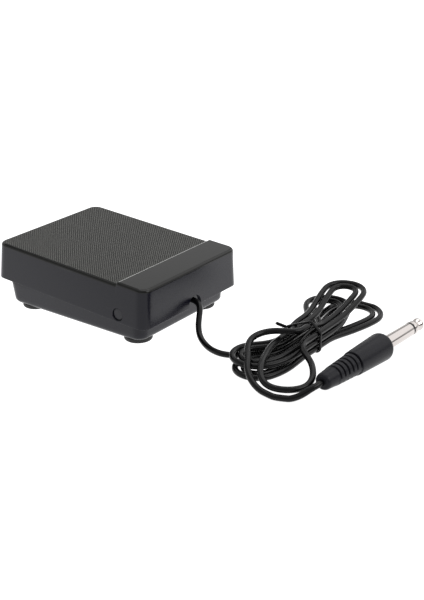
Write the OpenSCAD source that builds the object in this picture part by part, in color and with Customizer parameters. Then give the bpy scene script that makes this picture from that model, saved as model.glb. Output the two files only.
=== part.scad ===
// Foot-operated sustain pedal: hinged cover over a shallow base, leaf switch inside,
// thin cord tied in a hank and a 6.35 mm two-pole plug. Sizes in mm, floor at z = 0,
// hinge end at +X, toe end at -X.

/* [Cover] */
// Length of the cover at its lower rim
cover_l = 92; // [89:0.5:95]
// Width of the cover at its lower rim
cover_w = 71; // [70.5:0.5:77]
// Wall thickness of the cover
cover_wall = 2; // [1.6:0.1:2.2]
// Plan radius of the cover's corners
cover_corner = 5; // [4.6:0.2:7]
// Rounding along the top edges
top_round = 1.3; // [0.8:0.1:1.8]
// Height of the smooth strip above the tread
strip_rise = 1.2; // [0.6:0.1:1.6]
// Length of the smooth strip along the top
strip_l = 16.3; // [11:0.1:20]
// Lift of the toe end at rest, in degrees
rest_tilt = 3; // [2.6:0.1:3]

/* [Hinge] */
// Height of the hinge axis above the floor
pivot_z = 15.2; // [15:0.1:15.6]
// Radius of the hinge pins
pin_r = 2.8; // [2.2:0.1:3]
// Running clearance of the pins in the cover
pin_gap = 0.05; // [0.03:0.01:0.1]

/* [Base] */
// Width of the base at its foot
base_w = 63.1; // [62:0.1:64]
// Height of the rubber feet below the base
foot_h = 2.2; // [2:0.1:2.6]
// Radius of the rubber feet
foot_r = 6.6; // [5:0.1:6.7]
// Thickness of the base's floor
floor_t = 2.2; // [2:0.1:2.4]

/* [Spring] */
// Radius of the spring's wire
wire_r = 0.55; // [0.4:0.05:0.6]
// Radius of the spring's coils at the wire's centre
coil_r = 5.4; // [5:0.1:5.8]
// Number of coils
coils = 7; // [5:1:9]

/* [Cord] */
// Diameter of the cord
cord_d = 2.8; // [2.4:0.1:2.8]

/* [Plug] */
// Radius of the plug's barrel
plug_r = 3.175; // [3.15:0.005:3.2]
// Length of the moulded handle
handle_l = 46.5; // [44:0.5:50]

/* [Hidden] */
$fn = 48;
e = 0.01;
base_z = foot_h;
floor_z = base_z + floor_t;
pivot_x = 30.65;
rim_z = -3.6;
tread_z = 13.8;
cover_rear = 15.8;
cover_front = cover_rear - cover_l;
draft_side = 0.95;
draft_front = 0.55;
draft_rear = 1.2;
strip_x = cover_rear - draft_rear - strip_l;
ceiling_z = tread_z - 2.2;
notch_y = 1.2;
notch_r = 4.5;
notch_z = -2.75;
tray_top = 14;
wall_top = 25;
in_x0 = -39.3;
in_x1 = 38.3;
in_y = 29.2;
in_r = 4;
cord_r = cord_d / 2;
exit_z = 13.5;
exit_x = 42.2;
spring_x = -20;
spring_z0 = 7;
spring_z1 = 29;
leaf_t = 0.4;
stack_x0 = 16;
stack_x1 = 26;
lower_z = 9.2;
upper_z = 13.2;
contact_x = -4;
press_x = 4;
screw_r = 1.2;
feet = [[32.6, -23.6], [32.6, 23.6], [-31.6, -23.6], [-31.6, 23.6]];
plug_at = [129.4, -22.6, 6.4];
plug_yaw = 86.5;

// Hank: runs through the waist, lanes across it, layers and the end loops
runs = 12;
lane_step = 3.6;
layer_step = 3.4;
waist_at = [99.4, 11.8];
waist_yaw = 0.5;
waist_u = 9;
first_u = 2;
last_u = 1.8;
waist_lift = 0.8;
fan_l = 16;
far_fan = [1.5, -30, -7];
near_fan = [-23, -37.5, 34];
far_reach = [35.6, 29.2, 31.3];
near_reach = [22.5, 19.2, 30];
far_lift = [0, 1.1, 5.6];
lift_over = 9.7;
near_drop = [0, 0, 4];
drop_from = 23;
far_out = [12.6, 10, 9.4];
near_out = [9.6, 10.7, 9.6];
loop_nest = 3.7;
loop_wide = 11;
tie_w = 1.8;

// Route of the cord from the notch to the hank's first lane
lead_route = [[42.2, 1.2, 13.5], [44.8, 1.2, 13.5], [47.2, 1, 13.3], [49.4, 0.1, 12.6],
    [51.2, -1.7, 11.3], [52.7, -4.2, 9.3], [54.8, -7.6, 6.6], [58.2, -11.1, 3.6], [63, -13.9, 2],
    [68.4, -16, 1.4], [74, -16.8, 1.4], [78.8, -15.2, 1.4], [81.8, -12.6, 1.4], [84.7, -9.7, 1.5],
    [87.3, -6.6, 1.7], [89.5, -3.2, 2], [90.9, 0.4, 2.2]];

// Route of the cord from the hank's last lane to the plug
tail_route = [[101.8, 3.7, 12.5], [100.8, 1.7, 12.6], [99.1, 0.2, 12.7], [95.9, -1.5, 12.7],
    [92.5, -3.7, 12.6], [89.8, -6.4, 12.2], [88.3, -9.8, 11.8], [88.1, -13.4, 11.4],
    [89.2, -17.1, 10.9], [91.6, -21.4, 10.2], [94.9, -25.9, 9], [97.9, -30.7, 7.2],
    [102.7, -34.7, 4.5], [108.7, -36.6, 2.3], [115.2, -36.7, 1.4], [121.6, -34.2, 1.4],
    [125.5, -31.8, 3.3], [127.9, -28.7, 5.5]];

// Helpers

function unit(v) = v / norm(v);

function tangent(p, i) =
    let (a = max(0, i - 1), b = min(len(p) - 1, i + 1))
    unit(p[b] - p[a]);

// One ring of a swept tube, square to the route and level across
function ring(c, t, r, n) =
    let (s = unit(cross(t, [0, 0, 1])), w = cross(s, t))
    [for (k = [0 : n - 1]) c + r * (cos(360 * k / n) * s + sin(360 * k / n) * w)];

function tube_points(p, r, n) =
    [for (i = [0 : len(p) - 1]) each ring(p[i], tangent(p, i), r, n)];

function tube_faces(m, n) = concat(
    [for (i = [0 : m - 2], k = [0 : n - 1]) [i * n + k, i * n + (k + 1) % n, (i + 1) * n + k]],
    [for (i = [0 : m - 2], k = [0 : n - 1])
        [i * n + (k + 1) % n, (i + 1) * n + (k + 1) % n, (i + 1) * n + k]],
    [for (k = [1 : n - 2]) [0, k + 1, k]],
    [for (k = [1 : n - 2]) [(m - 1) * n, (m - 1) * n + k, (m - 1) * n + k + 1]]);

module tube(p, r, n) {
    polyhedron(tube_points(p, r, n), tube_faces(len(p), n));
}

// Distance from point p to the stretch a-b
function stretch_gap(p, a, b) =
    let (d = b - a, t = max(0, min(1, ((p - a) * d) / (d * d))))
    norm(p - a - t * d);

// Least gap of a tube to itself, leaving out the rings next to each other
function least_gap(p, d, skip) = min([for (i = [0 : len(p) - 1])
    for (j = [0 : len(p) - 2])
        if (abs(i - j) > skip && abs(i - j - 1) > skip) stretch_gap(p[i], p[j], p[j + 1])]) - d;

function smooth(t) = let (c = max(0, min(1, t))) c * c * (3 - 2 * c);

// Four rounded corners of one level, for a lofted shell
module level(x0, x1, w, r, z) {
    for (x = [x0 + r, x1 - r], y = [-w + r, w - r])
        translate([x, y, z])
            cylinder(r = r, h = e, $fn = 48);
}

module block(x0, x1, y0, y1, z0, z1) {
    translate([x0, y0, z0])
        cube([x1 - x0, y1 - y0, z1 - z0]);
}

module round_block(x0, x1, w, r, z0, z1) {
    block(x0 + r, x1 - r, -w, w, z0, z1);
    block(x0, x1, -w + r, w - r, z0, z1);
    for (x = [x0 + r, x1 - r], y = [-w + r, w - r])
        translate([x, y, z0])
            cylinder(r = r, h = z1 - z0);
}

// Rod along X, and rod along Y
module rod_x(x0, x1, y, z, r) {
    translate([x0, y, z])
        rotate([0, 90, 0])
            cylinder(r = r, h = x1 - x0);
}

module rod_y(y0, y1, x, z, r) {
    translate([x, y0, z])
        rotate([-90, 0, 0])
            cylinder(r = r, h = y1 - y0);
}

module rod(a, b, r) {
    d = b - a;
    translate(a)
        rotate([0, acos(d[2] / norm(d)), atan2(d[1], d[0])])
            cylinder(r = r, h = norm(d), $fn = 16);
}

// Cover, drawn level about the hinge axis and then lifted at the toe

module cover_skin() {
    w = cover_w / 2;
    t = tread_z;
    hull() {
        level(cover_front, cover_rear, w, cover_corner, rim_z);
        level(cover_front + draft_front, cover_rear - draft_rear, w - draft_side,
            cover_corner - 0.4, t - top_round);
        level(cover_front + draft_front + 0.35, cover_rear - draft_rear - 0.35,
            w - draft_side - 0.35, cover_corner - 0.7, t - 0.35 * top_round);
        level(cover_front + draft_front + top_round, cover_rear - draft_rear - top_round,
            w - draft_side - top_round, cover_corner - top_round, t - e);
    }
}

module strip_level(w, x1, r, z) {
    block(strip_x, strip_x + e, -w, w, z, z + e);
    for (y = [-w + r, w - r])
        translate([x1 - r, y, z])
            cylinder(r = r, h = e, $fn = 48);
}

// Raised smooth strip across the hinge end
module cover_strip() {
    w = cover_w / 2 - draft_side;
    x1 = cover_rear - draft_rear;
    t = tread_z + strip_rise;
    hull() {
        strip_level(w + 0.1, x1 + 0.1, cover_corner - 0.4, tread_z - 2);
        strip_level(w - 0.05, x1 - 0.05, cover_corner - 0.4, t - top_round);
        strip_level(w - 0.4, x1 - 0.4, cover_corner - 0.7, t - 0.35 * top_round);
        strip_level(w - 0.05 - top_round, x1 - 0.05 - top_round, cover_corner - top_round, t - e);
    }
}

module cover_hollow() {
    w = cover_w / 2 - cover_wall;
    hull() {
        level(cover_front + cover_wall, cover_rear - cover_wall, w, cover_corner - cover_wall,
            rim_z - 0.1);
        level(cover_front + draft_front + cover_wall, cover_rear - draft_rear - cover_wall,
            w - draft_side, cover_corner - cover_wall - 0.4, ceiling_z - e);
    }
}

// Barb inside the toe wall that holds the cover down against the spring
module cover_barb(y) {
    translate([0, y + 4, 0])
        rotate([90, 0, 0])
            linear_extrude(8)
                polygon([[-74.4, 1], [-70.4, 2.9], [-70.4, 4.5], [-74.4, 4.5]]);
}

module cover_inside() {
    x_spring = spring_x - pivot_x;
    x_press = press_x - pivot_x;
    for (y = [-16, 16])
        cover_barb(y);
    difference() {
        translate([x_spring, 0, 8.2])
            cylinder(r = 8.2, h = ceiling_z - 8.2 + 0.5);
        translate([x_spring, 0, 8])
            cylinder(r = 6.9, h = ceiling_z - 8);
    }
    block(x_press - 1.5, x_press + 1.5, -5, 5, -2.54, ceiling_z + 0.5);
    block(x_press - 5, x_press + 5, -0.9, 0.9, 3, ceiling_z + 0.5);
    for (y = [-11, 11])
        block(-68, 5, y - 0.8, y + 0.8, 8.8, ceiling_z + 0.5);
    for (x = [-40, -14])
        block(x - 0.8, x + 0.8, -28, 28, 9.6, ceiling_z + 0.5);
}

module cover_level() {
    difference() {
        union() {
            cover_skin();
            cover_strip();
        }
        cover_hollow();
        rod_x(9, 18, notch_y, notch_z, notch_r);
        block(9, 18, notch_y - notch_r, notch_y + notch_r, rim_z - 1, notch_z);
        rod_y(-40, 40, 0, 0, pin_r + pin_gap);
    }
    cover_inside();
}

module pedal_cover() {
    color([0.20, 0.20, 0.21])
        translate([pivot_x, 0, pivot_z])
            rotate([0, rest_tilt, 0])
                cover_level();
}

// Base

module tray_skin() {
    w = base_w / 2;
    hull() {
        level(-38.3, 38.3, w - 1.9, 4, base_z);
        level(-39.7, 39.9, w - 0.6, 4.8, base_z + 0.7);
        level(-40.7, 41, w, 4.9, base_z + 2);
        level(-42.4, 41.9, w + 0.65, 5.6, tray_top - e);
    }
}

module base_shell() {
    difference() {
        union() {
            tray_skin();
            round_block(-41.1, 40.1, 31, 5.4, tray_top - 2, wall_top);
        }
        round_block(in_x0, in_x1, in_y, in_r, floor_z, wall_top + 1);
        for (y = [-16, 16])
            block(-45, in_x0 + 1, y - 5, y + 5, 15.6, 23.75);
    }
}

// Bearing blocks for the hinge pins, posts, saddle and floor ribs
module base_inside() {
    for (s = [-1, 1]) {
        rod_y(s > 0 ? 25.6 : -in_y - 1, s > 0 ? in_y + 1 : -25.6, pivot_x, pivot_z, 5.2);
        block(pivot_x - 5.2, pivot_x + 5.2, s > 0 ? 25.6 : -in_y - 1, s > 0 ? in_y + 1 : -25.6,
            floor_z - 0.5, pivot_z);
        translate([-32, s * 20, floor_z - 0.5])
            cylinder(r = 3, h = 26.65 - floor_z + 0.5);
        block(-39.5, -32, s * 20 - 0.8, s * 20 + 0.8, floor_z - 0.5, 15);
        block(-38, 12, s * 12 - 0.7, s * 12 + 0.7, floor_z - 0.5, floor_z + 2.4);
    }
    block(31, 37, notch_y - 7.5, notch_y + 7.5, floor_z - 0.5, exit_z);
    translate([spring_x, 0, floor_z - 0.5])
        cylinder(r = 7.6, h = spring_z0 - floor_z + 0.5);
    translate([spring_x, 0, floor_z])
        cylinder(r = coil_r - wire_r - 0.6, h = 6.5);
}

module base_tray() {
    color([0.17, 0.17, 0.18])
        difference() {
            union() {
                base_shell();
                base_inside();
            }
            for (p = feet)
                translate([p[0], p[1], base_z - 1])
                    cylinder(r = foot_r + 0.1, h = 2);
            rod_y(-40, 40, pivot_x, pivot_z, pin_r + 0.02);
            rod_x(30, 45, notch_y, exit_z, cord_r + 0.05);
            for (y = [-5, 5])
                translate([34, notch_y + y, 6.4])
                    cylinder(r = screw_r + 0.05, h = 10);
            for (y = [-4.2, 4.2])
                translate([21, y, 3.2])
                    cylinder(r = screw_r + 0.05, h = 4);
        }
}

module hinge_pin(s) {
    color([0.15, 0.15, 0.16])
        difference() {
            rod_y(s > 0 ? 25.6 : -34.8, s > 0 ? 34.8 : -25.6, pivot_x, pivot_z, pin_r);
            rod_y(s > 0 ? 25 : -33, s > 0 ? 33 : -25, pivot_x, pivot_z, pin_r - 1.2);
        }
}

module hinge_pin_left() {
    hinge_pin(-1);
}

module hinge_pin_right() {
    hinge_pin(1);
}

module foot(p) {
    color([0.12, 0.12, 0.12])
        translate([p[0], p[1], 0])
            rotate_extrude()
                polygon([[0, 0], [foot_r - 0.5, 0], [foot_r, 0.5], [foot_r, foot_h + 1],
                    [0, foot_h + 1]]);
}

module foot_rear_left() {
    foot(feet[0]);
}

module foot_rear_right() {
    foot(feet[1]);
}

module foot_front_left() {
    foot(feet[2]);
}

module foot_front_right() {
    foot(feet[3]);
}

// Return spring: a coil of round wire with its ends cut square to the wire
coil_h = spring_z1 - spring_z0 - 2 * wire_r;
spring_path = [for (i = [0 : coils * 12])
    [spring_x + coil_r * cos(30 * i), coil_r * sin(30 * i), spring_z0 + wire_r + coil_h * i / (coils * 12)]];

module return_spring() {
    color([0.70, 0.71, 0.73])
        tube(spring_path, wire_r, 6);
}

// Leaf switch

module stack_holes(r) {
    for (y = [-4.2, 4.2])
        translate([21, y, 3])
            cylinder(r = r, h = 14);
}

module contact_block() {
    color([0.55, 0.36, 0.20])
        difference() {
            block(stack_x0, stack_x1, -7, 7, floor_z, lower_z);
            stack_holes(screw_r + 0.05);
        }
}

module lower_contact() {
    color([0.80, 0.62, 0.28]) {
        difference() {
            union() {
                block(stack_x0, stack_x1, -6, 6, lower_z, lower_z + leaf_t);
                block(-6, stack_x0 + 1, -3.2, 3.2, lower_z, lower_z + leaf_t);
                block(stack_x1 - 1, 28.8, -6, -2.6, lower_z, lower_z + leaf_t);
            }
            stack_holes(2);
        }
        translate([contact_x, 0, lower_z + leaf_t - 0.1])
            cylinder(r = 1.5, h = 0.5);
    }
}

module contact_spacer() {
    color([0.55, 0.36, 0.20])
        difference() {
            block(stack_x0, stack_x1, -7, 7, lower_z + leaf_t, upper_z);
            stack_holes(screw_r + 0.05);
        }
}

module upper_terminal() {
    color([0.80, 0.62, 0.28])
        difference() {
            union() {
                block(stack_x0, stack_x1, -6, 6, upper_z, upper_z + leaf_t);
                block(stack_x1 - 1, 28.8, 2.8, 6, upper_z, upper_z + leaf_t);
            }
            stack_holes(2);
        }
}

module contact_cap() {
    color([0.55, 0.36, 0.20])
        difference() {
            block(stack_x0, stack_x1, -7, 7, upper_z + leaf_t, upper_z + leaf_t + 1.5);
            stack_holes(screw_r + 0.05);
        }
}

module screw(z0, z1) {
    translate([0, 0, z0])
        cylinder(r = screw_r, h = z1 - z0 + 0.2);
    difference() {
        translate([0, 0, z1])
            cylinder(r = 2.3, h = 1.5);
        block(-0.35, 0.35, -1.6, 1.6, z1 + 0.7, z1 + 2);
        block(-1.6, 1.6, -0.35, 0.35, z1 + 0.7, z1 + 2);
    }
}

module contact_screws() {
    color([0.62, 0.63, 0.65])
        for (y = [-4.2, 4.2])
            translate([21, y, 0])
                screw(3.3, upper_z + leaf_t + 1.5);
}

// Moving blade with its contact stud
module contact_blade() {
    color([0.82, 0.64, 0.30]) {
        block(-6, stack_x0 - 0.1, -3.2, 3.2, upper_z, upper_z + leaf_t);
        translate([contact_x, 0, upper_z - 0.6])
            cylinder(r = 1.5, h = 0.7);
    }
}

// Cord's end inside the base

module cord_clamp() {
    color([0.16, 0.16, 0.17])
        difference() {
            block(31.5, 36.5, notch_y - 7.2, notch_y + 7.2, exit_z, exit_z + 2.5);
            rod_x(30, 38, notch_y, exit_z, cord_r + 0.05);
            for (y = [-5, 5])
                translate([34, notch_y + y, 6])
                    cylinder(r = screw_r + 0.05, h = 12);
        }
}

module clamp_screws() {
    color([0.62, 0.63, 0.65])
        for (y = [-5, 5])
            translate([34, notch_y + y, 0])
                screw(6.5, exit_z + 2.5);
}

module inner_cord() {
    color([0.07, 0.07, 0.08])
        rod_x(29.8, exit_x, notch_y, exit_z, cord_r);
}

// Conductors from the cord's end to the switch's tabs

module signal_wire() {
    color([0.70, 0.12, 0.10])
        tube([[29.8, 1.8, 13.7], [29.2, 1.8, 13.7], [28.8, 3, 14.1], [28.2, 4.1, 14.1],
            [26.4, 4.4, 14.1]], 0.45, 8);
}

module ground_wire() {
    color([0.85, 0.85, 0.82])
        tube([[29.8, 0.6, 13.3], [29.2, 0.6, 13.3], [28.9, -1.2, 12.4], [28.6, -3.2, 10.9],
            [28, -4.3, 10.1], [26.4, -4.3, 10.1]], 0.45, 8);
}

// Hank of cord: one tube through all its loops

function run_side(h) = h % 2 == 0 ? -1 : 1;
function lane(h) = run_side(h) * lane_step / 2 * (0.5 + abs(4 - h % 8));
function layer_in(h) = max(0, floor((h - 1) / 4));
function layer_out(h) = h == runs - 1 ? 3 : floor(h / 4);

// Place a point given along the hank, across it and in height
function hank_at(u, v, z) = [
    waist_at[0] + v * cos(waist_yaw) - u * sin(waist_yaw),
    waist_at[1] + v * sin(waist_yaw) + u * cos(waist_yaw), z];

function waist_z(n) = cord_r + waist_lift + layer_step * n;

// Two rings of run h through the waist
function run_points(h) =
    let (q = -run_side(h) * waist_u,
        q0 = h == 0 ? first_u : q,
        q1 = h == runs - 1 ? -last_u : q)
    [hank_at(-q0, lane(h), waist_z(layer_in(h))), hank_at(q1, lane(h), waist_z(layer_out(h)))];

// Axis of an end loop: an arc of length fan_l, then straight on
function fan_s(s, a) = abs(a) < e ? s : s < fan_l
    ? fan_l / (a * PI / 180) * sin(a * s / fan_l)
    : fan_l / (a * PI / 180) * sin(a) + (s - fan_l) * cos(a);
function fan_v(s, a) = abs(a) < e ? 0 : s < fan_l
    ? fan_l / (a * PI / 180) * (1 - cos(a * s / fan_l))
    : fan_l / (a * PI / 180) * (1 - cos(a)) + (s - fan_l) * sin(a);

// End loop after run h: out along a widening pair of strands, round and back
function loop_point(h, s, w) =
    let (n = layer_out(h), far = h % 2 == 0,
        a = far ? far_fan[n] : near_fan[n],
        reach = far ? far_reach[n] : near_reach[n],
        lift = far ? far_lift[n] : 0,
        drop = far ? 0 : near_drop[n],
        th = a * min(1, s / fan_l),
        c = (lane(h) + lane(h + 1)) / 2,
        x = w * run_side(h),
        u = waist_u + fan_s(s, a) - x * sin(th),
        v = c + fan_v(s, a) + x * cos(th))
    hank_at(far ? u : -u, v,
        waist_z(n) - waist_lift * smooth(s / 18) + lift * smooth(s / (reach + lift_over))
            - drop * smooth((s - drop_from) / (reach + lift_over - drop_from)));

function loop_points(h) =
    let (n = layer_out(h), far = h % 2 == 0,
        reach = far ? far_reach[n] : near_reach[n],
        out = far ? far_out[n] : near_out[n],
        w0 = abs(lane(h) - lane(h + 1)) / 2,
        r = h == 9 ? loop_wide : w0 < 4.5 ? out - loop_nest : out)
    concat(
        [for (k = [0.3, 0.65]) loop_point(h, reach * k, w0 + (r - w0) * smooth(k))],
        [for (t = [0 : 36 : 180]) loop_point(h, reach + r * sin(t), r * cos(t))],
        [for (k = [0.65, 0.3]) loop_point(h, reach * k, -w0 - (r - w0) * smooth(k))]);

hank_path = [for (h = [0 : runs - 1])
    each (h < runs - 1 ? concat(run_points(h), loop_points(h)) : run_points(h))];

hank_first = hank_path[0];
hank_last = hank_path[len(hank_path) - 1];
hank_in = unit(hank_at(1, 0, 0) - hank_at(0, 0, 0));

// The hank's ends run straight for one diameter, level and along its length
hank_tube = concat([hank_first - cord_d * hank_in], hank_path, [hank_last - cord_d * hank_in]);

echo(str("hank: least gap to itself ", least_gap(hank_tube, cord_d, 2), " mm"));
echo(str("spring: least gap to itself ", least_gap(spring_path, 2 * wire_r, 4), " mm"));

module cord_hank() {
    color([0.08, 0.08, 0.09])
        tube(hank_tube, cord_r, 6);
}

lead_path = concat(lead_route, [hank_first - 2 * cord_d * hank_in, hank_first - cord_d * hank_in]);

module cord_lead() {
    color([0.08, 0.08, 0.09])
        tube(lead_path, cord_r, 8);
}

plug_dir = [cos(plug_yaw), sin(plug_yaw), 0];
tail_path = concat([hank_last - cord_d * hank_in, hank_last - 1.5 * cord_d * hank_in], tail_route,
    [plug_at - cord_d * plug_dir, plug_at]);

module cord_tail() {
    color([0.08, 0.08, 0.09])
        tube(tail_path, cord_r, 8);
}

// Twist tie: a flat band round the waist and its twisted ends

module tie_outline(g) {
    x0 = -9.8 - g;
    x1 = 8 + g;
    z0 = 0.5 - g;
    z1 = 13.6 + g;
    r = 1.7 + g;
    q = 3.8 + g;
    translate([x0 + r, z0])
        square([x1 - x0 - 2 * r, z1 - z0 - q]);
    translate([x0 + q, z0 + r])
        square([x1 - x0 - 2 * q, z1 - z0 - r]);
    translate([x0, z0 + r])
        square([x1 - x0, z1 - z0 - r - q]);
    for (x = [x0 + r, x1 - r])
        translate([x, z0 + r])
            circle(r = r);
    for (x = [x0 + q, x1 - q])
        translate([x, z1 - q])
            circle(r = q);
}

module cord_tie() {
    color([0.10, 0.10, 0.11])
        translate([waist_at[0], waist_at[1], 0])
            rotate([0, 0, waist_yaw]) {
                translate([0, tie_w / 2, 0])
                    rotate([90, 0, 0])
                        linear_extrude(tie_w)
                            difference() {
                                tie_outline(0.5);
                                tie_outline(0);
                            }
                rod([-10, 0, 8], [-14.6, -1, 9], 0.9);
            }
}

// Plug, drawn along X from the cord's end

module on_plug() {
    translate(plug_at)
        rotate([0, 0, plug_yaw])
            children();
}

module turned(p) {
    rotate([0, 90, 0])
        rotate_extrude()
            polygon([for (q = p) [q[1], q[0]]]);
}

relief_x = 7.5;
relief_step = 2.8;
relief_r = 4.5;
relief_end = relief_x + 5 * relief_step;
web_t = 2.6;
web_roll = 13;

function ring_r(k) = relief_r + 0.15 * k;

// Grip with grooves all round its strain relief
module grip() {
    rings = [for (k = [0 : 4])
        let (x = relief_x + relief_step * k, r = ring_r(k))
        each [[x, r - 1.1], [x + 1, r - 1.1], [x + 1.15, r - 0.15], [x + 1.3, r], [x + 2.6, r],
            [x + 2.8, r - 0.2]]];
    turned(concat([[0, 0], [0, 2.6], [0.4, 3.3], [1.2, 3.7], [relief_x - 0.5, 4.2],
        [relief_x - 0.2, 4]], rings, [[relief_end, relief_r - 0.5], [relief_end + 0.8, relief_r - 0.5],
        [relief_end + 1, 5.35], [relief_end + 1.3, 5.5], [handle_l - 2.2, 6.4], [handle_l - 1.2, 6.1],
        [handle_l - 0.4, 5.4], [handle_l, 4.5], [handle_l, 2.92], [handle_l - 12, 2.92],
        [handle_l - 12, 0]]));
}

// Web that bridges the grooves on both sides, so that they are slots above and below
module grip_web() {
    intersection() {
        turned([[relief_x - 0.4, 0], [relief_x - 0.4, 4.1], [relief_end + 1.1, 5.05],
            [relief_end + 1.1, 0]]);
        rotate([web_roll, 0, 0])
            block(0, handle_l, -8, 8, -web_t / 2, web_t / 2);
    }
}

module plug_handle() {
    color([0.10, 0.10, 0.11])
        on_plug() {
            grip();
            grip_web();
        }
}

module plug_sleeve() {
    color([0.80, 0.79, 0.78])
        on_plug()
            translate([handle_l, 0, 0])
                turned([[-12, 2], [-12, 2.9], [0, 2.9], [0, plug_r], [21, plug_r], [21.2, plug_r - 0.2],
                    [21.2, 2]]);
}

module plug_insulator() {
    color([0.06, 0.06, 0.06])
        on_plug()
            translate([handle_l, 0, 0])
                turned([[-12, 1.25], [-12, 1.95], [21.25, 1.95], [21.25, plug_r - 0.2],
                    [22.4, plug_r - 0.2], [22.4, 1.25]]);
}

module plug_tip() {
    color([0.80, 0.79, 0.78])
        on_plug()
            translate([handle_l, 0, 0])
                turned([[-12, 0], [-12, 1.2], [22.45, 1.2], [22.45, plug_r - 0.2], [22.65, plug_r],
                    [24.3, plug_r], [25.9, 2.25], [26.5, 2.2], [27.2, 2.4], [28.2, 2.9], [28.8, 3],
                    [29.4, 2.9], [30.4, 2.2], [31.4, 1.2], [31.75, 0.6], [31.75, 0]]);
}

pedal_cover();
base_tray();
hinge_pin_left();
hinge_pin_right();
foot_front_left();
foot_front_right();
foot_rear_left();
foot_rear_right();
return_spring();
contact_block();
lower_contact();
contact_spacer();
upper_terminal();
contact_cap();
contact_screws();
contact_blade();
cord_clamp();
clamp_screws();
inner_cord();
signal_wire();
ground_wire();
cord_lead();
cord_hank();
cord_tail();
cord_tie();
plug_handle();
plug_sleeve();
plug_insulator();
plug_tip();
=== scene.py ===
"""Dressed sustain pedal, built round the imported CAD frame.

Shape functions work in millimetres, in the frame's own axes: X along the pedal with the hinge
end at +X, Y across it, Z up from the floor. The function sew() turns them into metres.
"""

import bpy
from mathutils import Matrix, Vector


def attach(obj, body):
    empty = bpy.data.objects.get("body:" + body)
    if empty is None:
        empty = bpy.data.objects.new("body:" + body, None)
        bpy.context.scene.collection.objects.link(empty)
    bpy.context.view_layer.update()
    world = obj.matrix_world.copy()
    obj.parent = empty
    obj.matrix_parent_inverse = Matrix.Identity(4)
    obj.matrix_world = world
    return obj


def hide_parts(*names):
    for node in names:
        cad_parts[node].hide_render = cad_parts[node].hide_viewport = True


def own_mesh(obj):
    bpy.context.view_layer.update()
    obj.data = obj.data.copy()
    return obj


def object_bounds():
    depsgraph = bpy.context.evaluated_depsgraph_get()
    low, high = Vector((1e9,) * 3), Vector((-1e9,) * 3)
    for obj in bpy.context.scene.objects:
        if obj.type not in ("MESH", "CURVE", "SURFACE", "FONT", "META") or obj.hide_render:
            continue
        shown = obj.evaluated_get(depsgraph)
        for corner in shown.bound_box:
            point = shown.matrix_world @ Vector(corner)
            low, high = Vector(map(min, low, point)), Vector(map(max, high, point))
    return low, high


bl_info = {
    "name": "Sustain Pedal",
    "version": (1, 0, 0),
    "blender": (4, 5, 0),
    "location": "View3D > Sidebar > Pedal",
    "description": "Builds a sustain pedal with its cord and plug round the packed frame",
    "category": "Add Mesh",
}

import math

import bmesh
import bpy
import numpy as np
from bpy.props import FloatProperty, FloatVectorProperty, PointerProperty
from mathutils import Matrix, Vector

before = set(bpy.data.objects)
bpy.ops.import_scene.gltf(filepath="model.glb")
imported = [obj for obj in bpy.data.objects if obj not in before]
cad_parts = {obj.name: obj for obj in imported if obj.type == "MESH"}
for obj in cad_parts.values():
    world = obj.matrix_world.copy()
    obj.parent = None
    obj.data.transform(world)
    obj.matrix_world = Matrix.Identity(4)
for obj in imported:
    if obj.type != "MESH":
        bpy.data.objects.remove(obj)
CAD_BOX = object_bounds()
MM = 0.001
join = np.concatenate


# Sizes and colours


def size(label, text, mm):
    """A length setting, given in millimetres and kept in metres."""
    return FloatProperty(
        name=label, description=text, default=mm * MM, min=0.0, precision=5, unit="LENGTH"
    )


def tint(label, text, rgb):
    """A colour setting in linear light."""
    return FloatVectorProperty(
        name=label, description=text, default=rgb, size=3, min=0.0, max=1.0, subtype="COLOR"
    )


class PedalSizes(bpy.types.PropertyGroup):
    """Sizes of the pedal's visible pieces"""

    cover_length: size("Cover length", "Length of the cover at its rim", 92)
    cover_width: size("Cover width", "Width of the cover at its rim", 71)
    top_round: size("Top rounding", "Rounding along the cover's top edges", 1.3)
    strip_length: size("Strip length", "Length of the smooth strip at the hinge end", 16.3)
    strip_rise: size("Strip rise", "Height of the strip above the tread", 1.2)
    strip_edge: size("Strip edge", "Rounding of the strip's front edge", 0.8)
    hatch_pitch: size("Hatch pitch", "Distance between the tread's grooves", 0.943)
    base_width: size("Base width", "Width of the base at its foot", 63.1)
    foot_radius: size("Foot radius", "Radius of the rubber feet", 6.6)
    pin_radius: size("Pin radius", "Radius of the hinge pins", 2.8)
    cord_diameter: size("Cord diameter", "Diameter of the cord", 2.8)
    handle_length: size("Handle length", "Length of the plug's moulded handle", 46.5)
    barrel_radius: size("Barrel radius", "Radius of the plug's barrel", 3.175)


class PedalColours(bpy.types.PropertyGroup):
    """Colours of the pedal's finishes"""

    body: tint("Body", "Moulded cover and base", (0.0050, 0.0050, 0.0098))
    # The tread colour is painted sheen: a pale grey standing in for the light that the hatch
    # scatters, on plastic as dark as the body.
    tread: tint("Tread", "Hatched top of the cover", (0.1150, 0.1150, 0.1060))
    strip: tint("Strip", "Smooth strip and rounded edges", (0.0046, 0.0046, 0.0040))
    rubber: tint("Feet", "Rubber feet", (0.0150, 0.0150, 0.0150))
    cord: tint("Cord", "Cord's jacket", (0.0022, 0.0022, 0.0026))
    handle: tint("Handle", "Plug's moulded handle", (0.0110, 0.0110, 0.0140))
    nickel: tint("Plating", "Plug's plated metal", (0.585, 0.545, 0.525))
    brass: tint("Contacts", "Leaf switch's metal", (0.74, 0.50, 0.22))
    board: tint("Board", "Leaf switch's insulating layers", (0.20, 0.085, 0.035))


# Surfaces


def grid(rows, cols, loop=False):
    """Quads of a grid of points, row by row, whose last column joins the first. A loop also joins
    the last row to the first."""
    i, j = np.meshgrid(np.arange(rows if loop else rows - 1), np.arange(cols), indexing="ij")
    k, m = (i + 1) % rows, (j + 1) % cols
    return np.stack([i * cols + j, i * cols + m, k * cols + m, k * cols + j], -1).reshape(-1, 4)


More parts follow.
